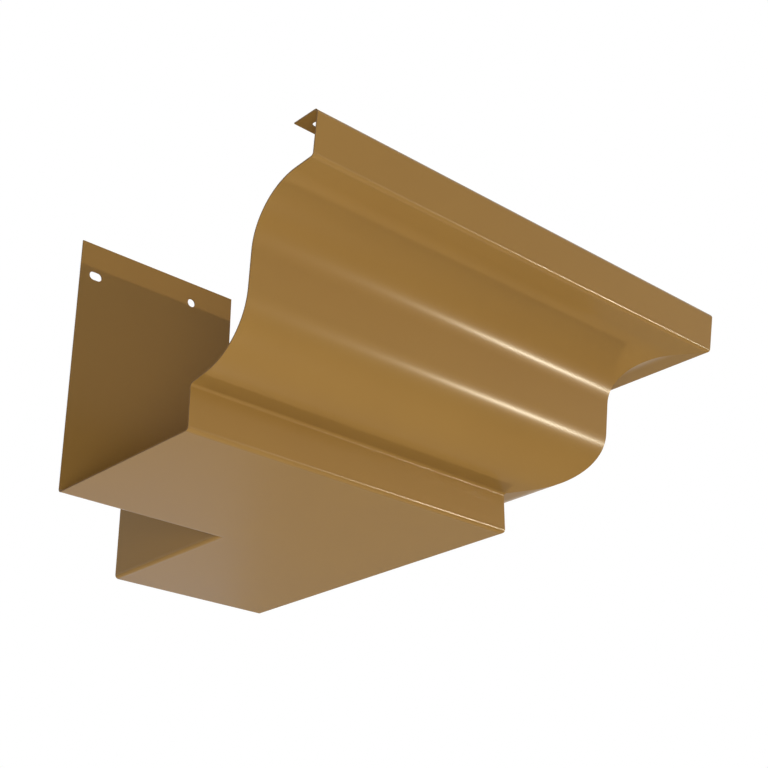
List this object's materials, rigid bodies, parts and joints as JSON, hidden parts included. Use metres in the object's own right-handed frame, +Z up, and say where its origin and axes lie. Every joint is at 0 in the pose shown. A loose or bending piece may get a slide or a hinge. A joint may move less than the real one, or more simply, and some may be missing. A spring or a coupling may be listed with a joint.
{
  "type": "external gutter corner",
  "caption": "Right-angle outside corner for an ogee-fronted eaves gutter, folded from painted sheet steel, with a flat back, flat bottom and a folded top lip.",
  "frame": {"origin": "the foot of the building's corner: where the outer faces of the two back walls meet, level with the underside of the flat bottom", "axes": "+Z is up. The first leg runs along -X from the corner and its moulded front faces -Y. The second leg runs along +Y and its front faces +X. The building fills the quadrant of -X and +Y, and the plane x + y = 0 is the mitre."},
  "size_m": [0.2699, 0.2699, 0.133],
  "materials": {
    "painted_steel": "factory-painted sheet steel, semi-gloss, ochre brown"
  },
  "bodies": {
    "root": {"gutter_corner": "painted_steel"}
  },
  "joints": []
}
